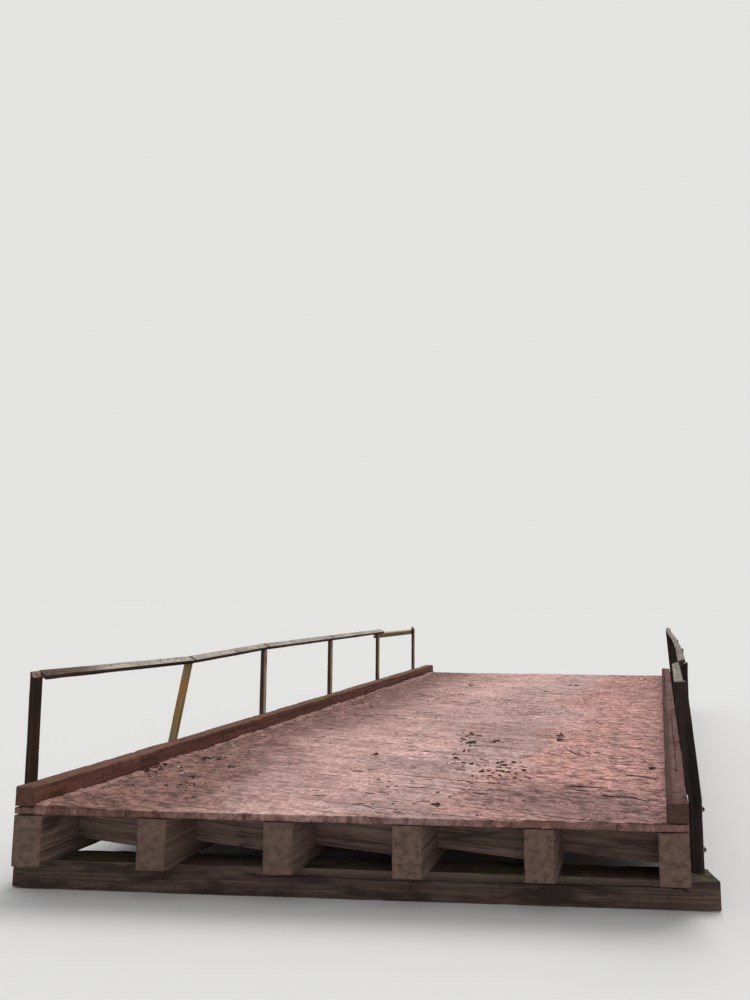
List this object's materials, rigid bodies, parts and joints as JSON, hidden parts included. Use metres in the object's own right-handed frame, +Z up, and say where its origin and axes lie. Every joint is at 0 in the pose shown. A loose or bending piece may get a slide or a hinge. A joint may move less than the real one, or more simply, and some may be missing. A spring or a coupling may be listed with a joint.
{
  "type": "wooden footbridge",
  "caption": "Weathered timber footbridge set askew, with a plank deck on stringers, curb timbers and a sagging post-and-rail handrail on each side.",
  "frame": {"origin": "on the ground under the middle of the deck, at the underside of the sills", "axes": "+Z up, +Y along the bridge from the near end to the far end, +X across it to the right"},
  "size_m": [4.773, 11.2952, 1.5178],
  "materials": {
    "sill_timber": "weathered sawn timber",
    "stringer_timber": "weathered sawn timber",
    "deck_plank": "worn, muddy planks",
    "curb_timber": "rotten, mossy timber",
    "left_post": "weathered sawn timber",
    "lichened_post": "timber with yellow-green lichen",
    "right_post": "old dark timber",
    "grey_rail": "grey timber crusted with pale lichen",
    "newer_rail": "newer sawn timber"
  },
  "bodies": {
    "root": {"sill_near": "sill_timber", "sill_far": "sill_timber", "stringer_1": "stringer_timber", "stringer_2": "stringer_timber", "stringer_3": "stringer_timber", "stringer_4": "stringer_timber", "stringer_5": "stringer_timber", "stringer_6": "stringer_timber", "blocking_near": "stringer_timber", "blocking_mid": "stringer_timber", "blocking_far": "stringer_timber", "deck_bay_1": "deck_plank", "deck_bay_2": "deck_plank", "deck_bay_3": "deck_plank", "deck_bay_4": "deck_plank", "deck_bay_5": "deck_plank", "deck_bay_6": "deck_plank", "left_curb_near": "curb_timber", "left_curb_far": "curb_timber", "right_curb_near": "curb_timber", "right_curb_far": "curb_timber", "left_post_1": "left_post", "left_post_2": "lichened_post", "left_post_3": "left_post", "left_post_4": "left_post", "left_post_5": "left_post", "left_post_6": "left_post", "right_post_1": "right_post", "right_post_2": "right_post", "right_post_3": "right_post", "right_post_4": "right_post", "right_post_5": "right_post", "right_post_6": "right_post", "left_rail_1": "grey_rail", "left_rail_2": "grey_rail", "left_rail_3": "grey_rail", "left_rail_4": "grey_rail", "left_rail_5": "newer_rail", "right_rail_1": "grey_rail", "right_rail_2": "grey_rail", "right_rail_3": "grey_rail", "right_rail_4": "grey_rail", "right_rail_5": "grey_rail"}
  },
  "joints": []
}
